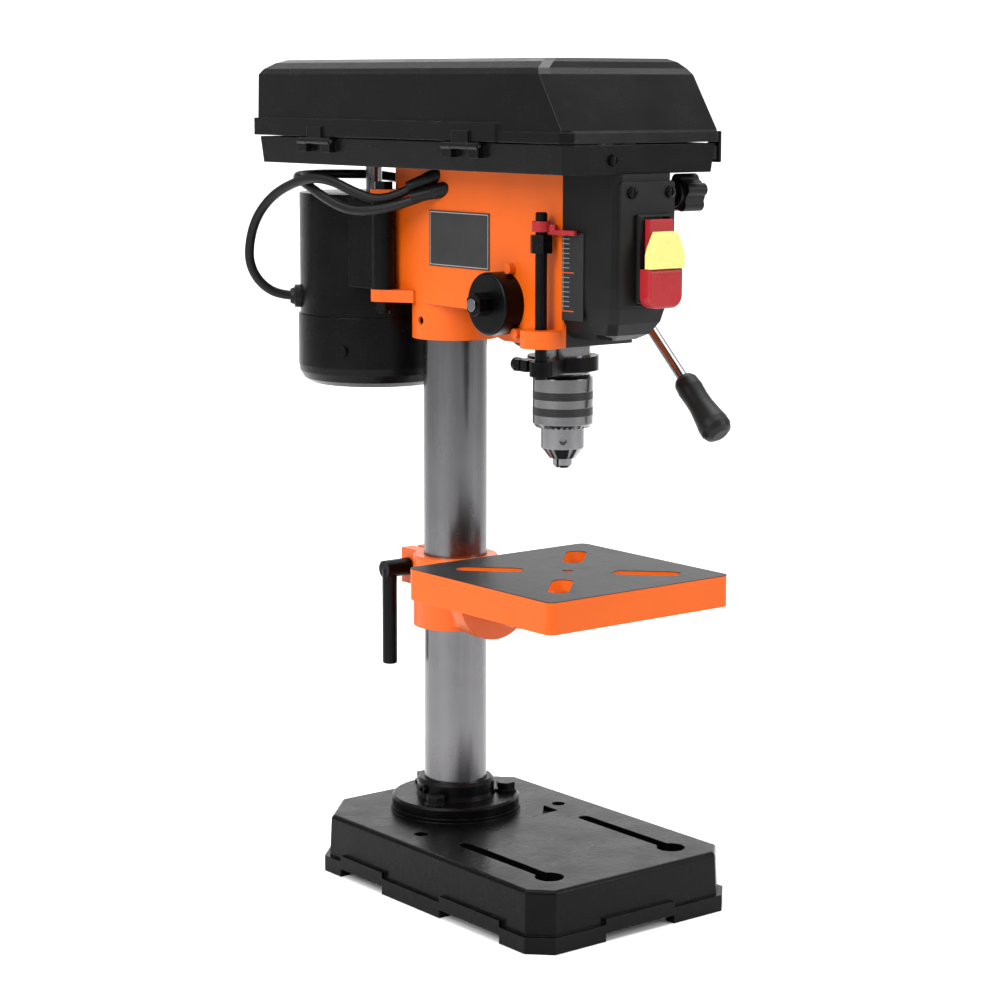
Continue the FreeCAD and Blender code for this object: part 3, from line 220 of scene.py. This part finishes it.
ORANGE = (0.64, 0.097, 0.003)
ORANGE_ENAMEL = dict(
    colour=ORANGE, rough=(0.32, 0.44), peel=0.2, peel_scale=300,
    gloss=0.3, coat=0.05, worn=(0.34, 0.06, 0.01))
COAT_ROUGHNESS = 0.1
DARK_PATCH, LIGHT_PATCH = 0.88, 1.1
BARE_CASTING = (0.03, 0.03, 0.03)
SWELL_DEPTH = 0.0012  # of the casting's slow waves under the paint
GRAIN_DEPTH = 0.0002
DUST = 0.002
RUBBED_SHINE = -0.08  # change of roughness on a plastic's rubbed edges

ENAMELS = {
    "orange_casting": dict(name="orange_enamel", **ORANGE_ENAMEL),
    "black_casting": dict(
        name="black_enamel", colour=(0.0016, 0.0015, 0.0017), rough=(0.22, 0.36),
        peel=0.5, peel_scale=240, gloss=0.1),
    "cover_paint": dict(
        name="cover_enamel", colour=(0.0038, 0.0034, 0.0038), rough=(0.2, 0.3),
        peel=0.14, peel_scale=380, gloss=0.16),
    "motor_paint": dict(
        name="motor_enamel", colour=(0.0022, 0.002, 0.0023), rough=(0.22, 0.34),
        peel=0.2, peel_scale=500, gloss=0.12),
}
METALS = {
    "column_steel": dict(
        name="column_tube", colour=(0.165, 0.163, 0.169), rough=(0.2, 0.3),
        stretch=(1, 1, 0.03), scale=150, bump=0.03, stain=0.2),
    "bright_steel": dict(
        name="polished_steel", colour=(0.28, 0.28, 0.29), rough=(0.12, 0.24),
        stretch=(1, 1, 24), scale=60, bump=0.03),
    "dark_steel": dict(
        name="blackened_steel", colour=(0.012, 0.012, 0.013), rough=(0.3, 0.45),
        stretch=(3, 3, 3), scale=120, bump=0.08),
    "zinc_steel": dict(
        name="zinc_steel", colour=(0.25, 0.24, 0.22), rough=(0.25, 0.4),
        stretch=(2, 2, 2), scale=90, bump=0.06),
    "pulley_alloy": dict(
        name="turned_alloy", colour=(0.4, 0.4, 0.41), rough=(0.25, 0.38),
        stretch=(1, 1, 30), scale=40, bump=0.06),
    "motor_inner": dict(
        name="laminations", colour=(0.14, 0.12, 0.11), rough=(0.4, 0.55),
        stretch=(1, 1, 60), scale=30, bump=0.1),
}
PLASTICS = {
    "black_plastic": dict(
        name="black_plastic", colour=(0.0055, 0.0055, 0.0058), rough=(0.35, 0.5),
        grain=900, bump=0.15, gloss=0.15),
    "grip_rubber": dict(
        name="grip_rubber", colour=(0.006, 0.006, 0.0063), rough=(0.36, 0.5), grain=700, bump=0.2, gloss=0.2),
    "cord_jacket": dict(
        name="cord_jacket", colour=(0.004, 0.004, 0.0042), rough=(0.38, 0.5), grain=500, bump=0.1, gloss=0.2),
    "belt_rubber": dict(
        name="belt_rubber", colour=(0.010, 0.010, 0.011), rough=(0.6, 0.8), grain=300, bump=0.3, gloss=0.25),
    "red_plastic": dict(
        name="red_plastic", colour=(0.31, 0.014, 0.018), rough=(0.24, 0.34),
        grain=600, bump=0.06, gloss=0.3, speck=0.1),
    "yellow_plastic": dict(
        name="yellow_plastic", colour=(0.62, 0.60, 0.18), rough=(0.25, 0.36),
        grain=600, bump=0.06, gloss=0.3, speck=0.05),
}


def enamel(name, colour, rough, peel, peel_scale, gloss, coat=0.0, worn=BARE_CASTING):
    """Sprayed enamel on a casting: orange peel, faint mottling, rubbed edges."""
    m = Nodes(name)
    m.soft_edges(ENAMEL_EDGE)
    base = m.mixed(m.cloud(scale=9, detail=4), shade(colour, DARK_PATCH), shade(colour, LIGHT_PATCH))
    wear = m.both(m.edge_wear(), m.cloud(scale=120, detail=4, target=(0.1, 0.6), source=(0.45, 0.65)))
    scuffs = m.spread(m.noise(scale=45, detail=6, rough=0.7, stretch=(1, 1, 5)), (0.62, 0.72), (0.0, 0.06))
    roughness = m.math("ADD", m.cloud(scale=30, detail=5, target=rough), scuffs)
    m.set(Base_Color=m.mixed(wear, base, worn), Roughness=roughness, Specular_IOR_Level=gloss)
    m.set(Coat_Weight=coat, Coat_Roughness=COAT_ROUGHNESS)
    m.bump(m.noise(scale=peel_scale, detail=2), peel)
    m.bump(m.noise(scale=35, detail=3), peel / 2, SWELL_DEPTH)
    return m


def metal(name, colour, rough, stretch, scale, bump, stain=0.12):
    """Machined or polished steel with fine tool lines and faint handling marks."""
    m = Nodes(name)
    m.soft_edges(METAL_EDGE)
    base = m.mixed(m.cloud(scale=14, detail=5, source=(0.35, 0.7)), colour, shade(colour, 1 - stain))
    lines = m.noise(scale=scale, detail=3, rough=0.6, stretch=stretch)
    smear = m.cloud(scale=24, detail=5, target=(0.0, 0.08), source=(0.5, 0.75))
    m.set(Base_Color=base, Metallic=1.0, Roughness=m.math("ADD", m.spread(lines, MIDDLE, rough), smear))
    m.bump(lines, bump)
    return m


def plastic(name, colour, rough, grain, bump, gloss, speck=0.15):
    """Moulded plastic or rubber with a fine eroded grain and a little dust."""
    m = Nodes(name)
    m.soft_edges(PLASTIC_EDGE)
    base = m.mixed(m.cloud(scale=22, detail=4, source=(0.4, 0.75)), colour, shade(colour, 1 + speck, DUST))
    rubbed = m.math("MULTIPLY", m.edge_wear(), RUBBED_SHINE)
    roughness = m.math("ADD", m.cloud(scale=60, detail=4, target=rough), rubbed)
    m.set(Base_Color=base, Roughness=roughness, Specular_IOR_Level=gloss)
    m.bump(m.noise(scale=grain, detail=2), bump, GRAIN_DEPTH)
    return m


# ---- finishes laid out on one piece

GROUND_DEPTH = (0.0006, 0.0003)  # under the table's top, where the ground grey starts and is full
GROUND_DARK, GROUND_LIGHT = (0.008, 0.008, 0.0085), (0.018, 0.0175, 0.018)
GROUND_METALLIC = 0.35


def ground_table():
    """Orange enamel sides, and a ground grey top with scratches both ways."""
    m = Nodes("table_iron")
    m.soft_edges(ENAMEL_EDGE)
    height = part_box("table_top")[1].z
    top = m.spread(m.axis("Z"), tuple(height - depth for depth in GROUND_DEPTH), FULL)
    sides = m.mixed(m.cloud(scale=9, detail=4), shade(ORANGE, DARK_PATCH), ORANGE)
    ways = (1, 60, 1), (60, 1, 1)
    scratch = m.math("MAXIMUM", *(m.noise(scale=30, detail=4, rough=0.6, stretch=way) for way in ways))
    ground = m.mixed(m.cloud(scale=12, detail=5, source=(0.35, 0.7)), GROUND_DARK, GROUND_LIGHT)
    m.set(Base_Color=m.mixed(top, sides, ground), Metallic=m.math("MULTIPLY", top, GROUND_METALLIC))
    sprayed = m.cloud(scale=30, detail=5, target=(0.28, 0.42))
    scratched = m.spread(scratch, (0.4, 0.8), (0.4, 0.58))
    m.set(Roughness=m.mixed(top, sprayed, scratched), Specular_IOR_Level=0.2)
    m.bump(m.noise(scale=300, detail=2), 0.12)
    m.bump(scratch, 0.05)
    return m


def printed(m, marks, base):
    """Finish a printed plate: base enamel under marks given as (mask, colour)."""
    colour = m.mixed(m.cloud(scale=40, detail=4, source=(0.35, 0.7)), base, shade(base, 1.2, 0.001))
    for mask, ink in marks:
        colour = m.mixed(mask, colour, ink)
    m.set(Base_Color=colour, Roughness=m.cloud(scale=50, detail=4, target=(0.3, 0.42)))
    m.set(Specular_IOR_Level=0.3)
    m.bump(m.noise(scale=500, detail=2), 0.05, GRAIN_DEPTH)
    return m


PLATE_LINE = (0.0009, 0.0014)  # from the plate's edge to the line's two sides
PLATE_DARK, PLATE_LIGHT = (0.02, 0.02, 0.021), (0.32, 0.31, 0.30)


def plain_plate():
    """Plain dark plate with a thin light line round its edge."""
    m = Nodes("plain_plate")
    low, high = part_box("data_plate")
    middle, half = (low + high) / 2, (high - low) / 2
    side_gap = m.math("SUBTRACT", half.y, m.from_middle("Y", middle.y))
    end_gap = m.math("SUBTRACT", half.z, m.from_middle("Z", middle.z))
    line = m.band(m.math("MINIMUM", side_gap, end_gap), *PLATE_LINE)
    return printed(m, [(line, PLATE_LIGHT)], PLATE_DARK)


INCH = 0.0254
SCALE_ZERO = 0.474  # height of the scale's first mark
SCALE_SPAN = (0.4228, 0.4744)
SCALE_RULE = (-0.1592, -0.1588)  # from front to back of the line that the marks start at
SMALL_MARK_END, LARGE_MARK_END = -0.1645, -0.1685
SMALL_MARK_HALF, LARGE_MARK_HALF = 0.00022, 0.00035
SCALE_BLACK = (0.012, 0.012, 0.013)
MARK_WHITE = (0.22, 0.22, 0.22)
MARK_RED = (0.5, 0.07, 0.01)


def depth_scale():
    """Black plate with a mark every eighth of an inch and a longer one at each inch."""
    m = Nodes("scale_plate")
    y, z = m.axis("Y"), m.axis("Z")
    down = m.math("SUBTRACT", SCALE_ZERO, z)
    span = m.band(z, *SCALE_SPAN)

    def marks(spacing, half, end):
        near = m.math("LESS_THAN", m.math("PINGPONG", down, spacing / 2), half)
        return m.both(m.both(near, m.math("GREATER_THAN", y, end)), span)

    small = marks(INCH / 8, SMALL_MARK_HALF, SMALL_MARK_END)
    large = marks(INCH, LARGE_MARK_HALF, LARGE_MARK_END)
    rule = m.both(m.band(y, *SCALE_RULE), span)
    return printed(m, [(small, MARK_WHITE), (rule, MARK_WHITE), (large, MARK_RED)], SCALE_BLACK)


CHUCK_BANDS = ((0.3590, 0.3645), (0.3480, 0.3535))  # heights
CHUCK_LIGHT, CHUCK_DARK, BAND_BLACK = (0.24, 0.24, 0.245), (0.18, 0.18, 0.184), (0.012, 0.012, 0.013)


def chuck_steel():
    """Turned steel sleeve with two blackened bands and a fine knurl in them."""
    m = Nodes("chuck_sleeve_steel")
    m.soft_edges(METAL_EDGE)
    z = m.axis("Z")
    bands = m.math("ADD", *(m.band(z, *band) for band in CHUCK_BANDS))
    turning = m.noise(scale=70, detail=3, rough=0.6, stretch=(1, 1, 40))
    bright = m.mixed(m.cloud(scale=18, detail=4, source=(0.35, 0.7)), CHUCK_LIGHT, CHUCK_DARK)
    m.set(Base_Color=m.mixed(bands, bright, BAND_BLACK))
    m.set(Metallic=m.math("SUBTRACT", 1.0, m.math("MULTIPLY", bands, 0.6)))
    m.set(Roughness=m.math("ADD", m.spread(turning, MIDDLE, (0.14, 0.26)), m.math("MULTIPLY", bands, 0.2)))
    m.bump(turning, 0.06)
    m.bump(m.both(bands, m.noise(scale=900, detail=1)), 0.5)
    return m


NOSE_FRONT_Y = -0.1573
NOSE_LEFT_X = -0.0275
NOSE_EDGE_TOP = 0.412
NOSE_BLACK = (0.003, 0.003, 0.003)


def head_enamel():
    """The head's orange enamel, black on the nose's front edge under the front shell."""
    m = enamel(name="head_enamel", **ORANGE_ENAMEL)
    colour = m.bsdf.inputs["Base Color"].links[0].from_socket
    front = m.math("LESS_THAN", m.axis("Y"), NOSE_FRONT_Y)
    inside = m.math("GREATER_THAN", m.axis("X"), NOSE_LEFT_X)
    edge = m.both(m.both(front, inside), m.math("LESS_THAN", m.axis("Z"), NOSE_EDGE_TOP))
    m.set(Base_Color=m.mixed(edge, colour, NOSE_BLACK))
    return m


OWN_FINISH = {"chuck_sleeve": "chuck", "head_casting": "head"}
MATS = {}


def make_materials():
    for finish, looks in ((enamel, ENAMELS), (metal, METALS), (plastic, PLASTICS)):
        for slot, look in looks.items():
            MATS[slot] = finish(**look).mat
    own = {"ground_iron": ground_table, "plate": plain_plate, "scale": depth_scale,
           "chuck": chuck_steel, "head": head_enamel}
    for slot, finish in own.items():
        MATS[slot] = finish().mat


def dress_nodes():
    """Every CAD node that stays visible takes the finish of its slot."""
    slots = {s["node"]: s["material_slot"] for s in frame["record"]["subparts"]}
    for name, obj in NODES.items():
        obj.data.materials.clear()
        obj.data.materials.append(MATS[OWN_FINISH.get(name, slots[name])])


# ---- cords, in metres

CORD_D = 0.007
CURVE_STEPS = 12
CORD_FACETS = 6
LEAD_ROUTE = [
    (-0.0445, 0.1269, 0.415), (-0.0594, 0.136, 0.415), (-0.0723, 0.144, 0.4238), (-0.0794, 0.1483, 0.4389),
    (-0.0792, 0.1476, 0.4564), (-0.077, 0.1415, 0.474), (-0.073, 0.128, 0.489), (-0.070, 0.107, 0.499),
    (-0.0675, 0.083, 0.5045), (-0.065, 0.060, 0.503), (-0.061, 0.039, 0.4955), (-0.055, 0.020, 0.490),
    (-0.0465, 0.003, 0.4945), (-0.038, -0.009, 0.503), (-0.028, -0.019, 0.5085),
]
POWER_ROUTE = [
    (-0.024, -0.033, 0.501), (-0.034, -0.021, 0.497), (-0.046, -0.005, 0.4895), (-0.056, 0.012, 0.484),
    (-0.064, 0.031, 0.482), (-0.067, 0.048, 0.485), (-0.0675, 0.067, 0.491), (-0.0635, 0.088, 0.4965),
    (-0.0575, 0.110, 0.501), (-0.049, 0.130, 0.5035), (-0.032, 0.144, 0.504), (-0.011, 0.1505, 0.504),
    (0.012, 0.1495, 0.5035), (0.034, 0.142, 0.503), (0.053, 0.130, 0.499), (0.066, 0.115, 0.486),
    (0.072, 0.103, 0.463), (0.074, 0.096, 0.430), (0.0742, 0.092, 0.380), (0.0735, 0.089, 0.320),
    (0.0718, 0.0865, 0.255), (0.0695, 0.0845, 0.190), (0.067, 0.083, 0.135), (0.0648, 0.082, 0.092),
    (0.0628, 0.0816, 0.073), (0.061, 0.082, 0.058), (0.0598, 0.0845, 0.0436), (0.0588, 0.0918, 0.031),
    (0.0582, 0.103, 0.0222),
]
COIL_CENTRE = (0.095, 0.108)
COIL_INNER, COIL_OUTER = 0.0325, 0.0395
COIL_UPPER, COIL_LOWER = 0.01015, 0.00395
COIL_KEYS = [  # clockwise angle from the coil's left, radius and height, as the turns lie
    (12, 0.0372, 0.0178), (38, 0.0382, 0.0151), (62, 0.0391, 0.0122),
    (90, COIL_OUTER, COIL_UPPER), (330, COIL_OUTER, COIL_UPPER),
    (390, COIL_INNER, COIL_UPPER), (640, COIL_INNER, COIL_UPPER),
    (700, COIL_INNER, COIL_LOWER), (990, COIL_INNER, COIL_LOWER),
    (1050, COIL_OUTER, COIL_LOWER), (1258, COIL_OUTER, COIL_LOWER),
]
COIL_END = [(0.1346, 0.102, 0.0042), (0.1352, 0.095, 0.0056), (0.1355, 0.089, 0.0068), (0.1355, 0.084, 0.007)]
COIL_STEP = 26  # degrees between control points
COIL_SWELL = 1.008  # how far outside its turn a control point lies

TIE_ANGLE = math.radians(45)
TIE_HALF_WIDTH = 0.0025
TIE_THICKNESS = 0.0004
TIE_MIDDLE = (0.036, 0.0071)  # distance from the coil's centre, and height
TIE_HALF = (0.0074, 0.0070)
TIE_CORNER = 0.003
CORNER_POINTS = 6


def curve_piece(name, points, radius):
    """Round smooth tube with the points as its control points."""
    data = bpy.data.curves.new(name, "CURVE")
    data.dimensions = "3D"
    data.resolution_u = CURVE_STEPS
    data.bevel_depth = radius
    data.bevel_resolution = CORD_FACETS
    data.use_fill_caps = True
    spline = data.splines.new("NURBS")
    spline.points.add(len(points) - 1)
    for point, place in zip(spline.points, points):
        point.co = (*place, 1.0)
    spline.order_u = 3
    spline.use_endpoint_u = True
    obj = bpy.data.objects.new(name, data)
    SCENE.collection.objects.link(obj)
    return obj


def coil_point(degrees, radius, height):
    angle = math.radians(180 - degrees)
    return COIL_CENTRE[0] + radius * math.cos(angle), COIL_CENTRE[1] + radius * math.sin(angle), height


def coil_points():
    """Control points of the coil's turns, then of its straight end at the plug."""
    points = []
    for (a0, r0, z0), (a1, r1, z1) in zip(COIL_KEYS, COIL_KEYS[1:]):
        steps = max(1, round((a1 - a0) / COIL_STEP))
        for i in range(steps):
            t = i / steps
            radius = (r0 + (r1 - r0) * t) * COIL_SWELL
            points.append(coil_point(a0 + (a1 - a0) * t, radius, z0 + (z1 - z0) * t))
    return points + [coil_point(*COIL_KEYS[-1])] + COIL_END


def tie_outline(shrink):
    """Rounded rectangle round the coil's four strands, as distances from its centre and heights."""
    outline = []
    for quarter, (side_r, side_z) in enumerate(((1, 1), (-1, 1), (-1, -1), (1, -1))):
        for i in range(CORNER_POINTS):
            angle = math.radians(90 * (quarter + i / (CORNER_POINTS - 1)))
            r = TIE_MIDDLE[0] + side_r * (TIE_HALF[0] - TIE_CORNER) + (TIE_CORNER - shrink) * math.cos(angle)
            z = TIE_MIDDLE[1] + side_z * (TIE_HALF[1] - TIE_CORNER) + (TIE_CORNER - shrink) * math.sin(angle)
            outline.append((r, z))
    return outline


def make_tie():
    """Narrow strap round the four strands of the coil."""
    centre = Vector((*COIL_CENTRE, 0))
    out = Vector((math.cos(TIE_ANGLE), math.sin(TIE_ANGLE), 0))
    along = Vector((-math.sin(TIE_ANGLE), math.cos(TIE_ANGLE), 0))
    outer, inner = tie_outline(0.0), tie_outline(TIE_THICKNESS)
    bm = bmesh.new()
    rings = []
    for outline, side in ((outer, -1), (outer, 1), (inner, 1), (inner, -1)):
        edge = centre + along * (side * TIE_HALF_WIDTH)
        rings.append([bm.verts.new(edge + out * r + Vector((0, 0, z))) for r, z in outline])
    count = len(outer)
    for a, b in zip(rings, rings[1:] + rings[:1]):
        for i in range(count):
            bm.faces.new((a[i], a[(i + 1) % count], b[(i + 1) % count], b[i]))
    bmesh.ops.recalc_face_normals(bm, faces=bm.faces)
    tie = mesh_piece("coil_tie", bm)
    tie.data.materials.append(MATS["grip_rubber"])
    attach(tie, "frame")


def mesh_piece(name, bm):
    mesh = bpy.data.meshes.new(name)
    bm.to_mesh(mesh)
    bm.free()
    obj = bpy.data.objects.new(name, mesh)
    SCENE.collection.objects.link(obj)
    return obj


def make_cords():
    """The motor's lead, and the mains cord that ends in a tied coil with its plug."""
    lead = curve_piece("motor_lead_cord", LEAD_ROUTE, CORD_D / 2)
    power = curve_piece("power_cord_run", POWER_ROUTE + coil_points(), CORD_D / 2)
    for obj in (lead, power):
        obj.data.materials.append(MATS["cord_jacket"])
        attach(obj, "frame")
    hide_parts("motor_lead")
    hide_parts("power_cord", "power_coil")
    make_tie()


# ---- stage and light

STAGE_FORWARD = Vector((0.6207, 0.7841, 0))  # level, away from the camera
STAGE_SIDE = Vector((0.7841, -0.6207, 0))
STAGE_HALF_WIDTH = 5
STAGE_NEAR, STAGE_BEND, STAGE_TOP = -3.0, 1.9, 4.0
STAGE_RADIUS = 0.9
STAGE_STEPS = 10
PAPER_WHITE = (0.86, 0.86, 0.86)
WORLD_STRENGTH = 0.5
LIGHTS = {  # place, target, size and power
    "key_left": ((-1.9, -0.3, 1.6), (0, 0, 0.3), (1.0, 1.5), 46),
    "fill_right": ((1.1, -1.9, 1.2), (0, -0.05, 0.35), (0.9, 1.3), 26),
    "top_soft": ((0.0, 0.1, 2.2), (0, 0, 0.0), (2.2, 2.2), 62),
    "backdrop": ((0.9, 0.5, 2.3), (1.5, 1.9, 0.3), (2.0, 2.0), 40),
}


def make_stage():
    """White paper that runs flat under the machine and bends up behind it."""
    profile = [(STAGE_NEAR, 0.0), (STAGE_BEND, 0.0)]
    for i in range(1, STAGE_STEPS + 1):
        angle = math.radians(90 / STAGE_STEPS * i)
        profile.append((STAGE_BEND + STAGE_RADIUS * math.sin(angle), STAGE_RADIUS * (1 - math.cos(angle))))
    profile.append((STAGE_BEND + STAGE_RADIUS, STAGE_TOP))
    bm = bmesh.new()
    rows = []
    for d, z in profile:
        edge = STAGE_FORWARD * d + Vector((0, 0, z))
        rows.append([bm.verts.new(edge + STAGE_SIDE * w) for w in (-STAGE_HALF_WIDTH, STAGE_HALF_WIDTH)])
    for a, b in zip(rows, rows[1:]):
        bm.faces.new((a[0], a[1], b[1], b[0]))
    floor = mesh_piece("floor", bm)
    m = Nodes("studio_paper")
    m.set(Base_Color=PAPER_WHITE, Roughness=m.cloud(scale=4, detail=2, target=(0.6, 0.75)))
    floor.data.materials.append(m.mat)
    for face in floor.data.polygons:
        face.use_smooth = True


def area_light(name, place, target, size, power):
    data = bpy.data.lights.new(name, "AREA")
    data.shape = "RECTANGLE"
    data.size, data.size_y = size
    data.energy = power
    obj = bpy.data.objects.new(name, data)
    SCENE.collection.objects.link(obj)
    obj.location = place
    obj.rotation_euler = (Vector(target) - Vector(place)).to_track_quat("-Z", "Y").to_euler()


def make_lights():
    for name, values in LIGHTS.items():
        area_light(name, *values)
    world = bpy.data.worlds.new("studio")
    SCENE.world = world
    world.use_nodes = True
    background = world.node_tree.nodes["Background"]
    background.inputs["Color"].default_value = (1, 1, 1, 1)
    background.inputs["Strength"].default_value = WORLD_STRENGTH
    SCENE.view_settings.view_transform = "Standard"


make_camera()
make_materials()
dress_nodes()
make_cords()
make_stage()
make_lights()
